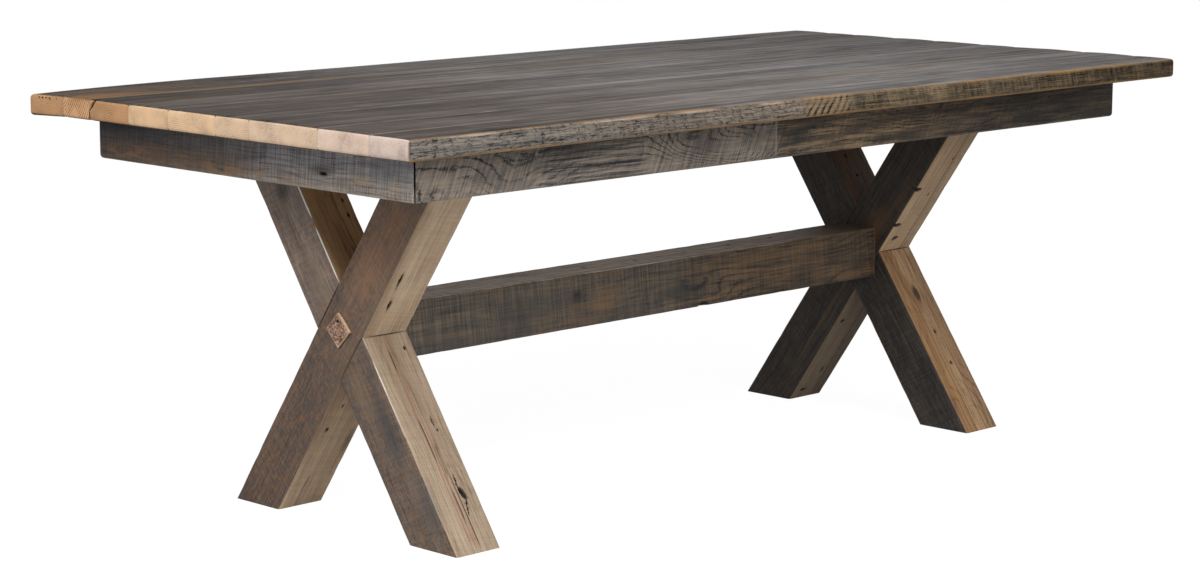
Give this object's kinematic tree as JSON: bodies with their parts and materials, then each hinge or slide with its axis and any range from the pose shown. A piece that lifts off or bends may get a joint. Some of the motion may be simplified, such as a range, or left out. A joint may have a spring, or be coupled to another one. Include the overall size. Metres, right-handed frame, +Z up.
{
  "type": "sawbuck table",
  "caption": "Rectangular dining table with a plank top and low apron on two crossed-timber trestles, joined by a square stretcher.",
  "frame": {"origin": "on the floor under the middle of the table top", "axes": "+X along the planks to the right end, +Y across the planks to the far side, +Z up"},
  "size_m": [2.134, 1.054, 0.778],
  "materials": {
    "top_boards": "dark grey-brown reclaimed boards, satin, worn tan along edges and seams",
    "apron_boards": "weathered grey-brown rough-sawn boards, matt",
    "trestle_timber": "brown reclaimed timber with saw marks, checks and nail stains, matt",
    "peg_wood": "end-grain wooden peg, pinkish tan, matt",
    "inner_wood": "plain planed wood under the top, unfinished",
    "steel": "plain zinc-plated steel"
  },
  "bodies": {
    "root": {"top_plank_1": "top_boards", "top_plank_2": "top_boards", "top_plank_3": "top_boards", "top_plank_4": "top_boards", "top_plank_5": "top_boards", "top_plank_6": "top_boards", "top_plank_7": "top_boards", "top_plank_8": "top_boards", "top_plank_9": "top_boards", "apron_near_side": "apron_boards", "apron_far_side": "apron_boards", "apron_left_end": "apron_boards", "apron_right_end": "apron_boards", "corner_block_left_near": "inner_wood", "corner_block_left_far": "inner_wood", "corner_block_right_near": "inner_wood", "corner_block_right_far": "inner_wood", "left_cleat": "inner_wood", "centre_batten": "inner_wood", "right_cleat": "inner_wood", "left_leg_near_top": "trestle_timber", "left_leg_far_top": "trestle_timber", "right_leg_near_top": "trestle_timber", "right_leg_far_top": "trestle_timber", "stretcher": "trestle_timber", "left_peg": "peg_wood", "right_peg": "peg_wood", "left_draw_bolt": "steel", "left_bolt_washer": "steel", "left_square_nut": "steel", "right_draw_bolt": "steel", "right_bolt_washer": "steel", "right_square_nut": "steel", "top_screws": "steel", "leg_lag_screws": "steel"}
  },
  "joints": []
}
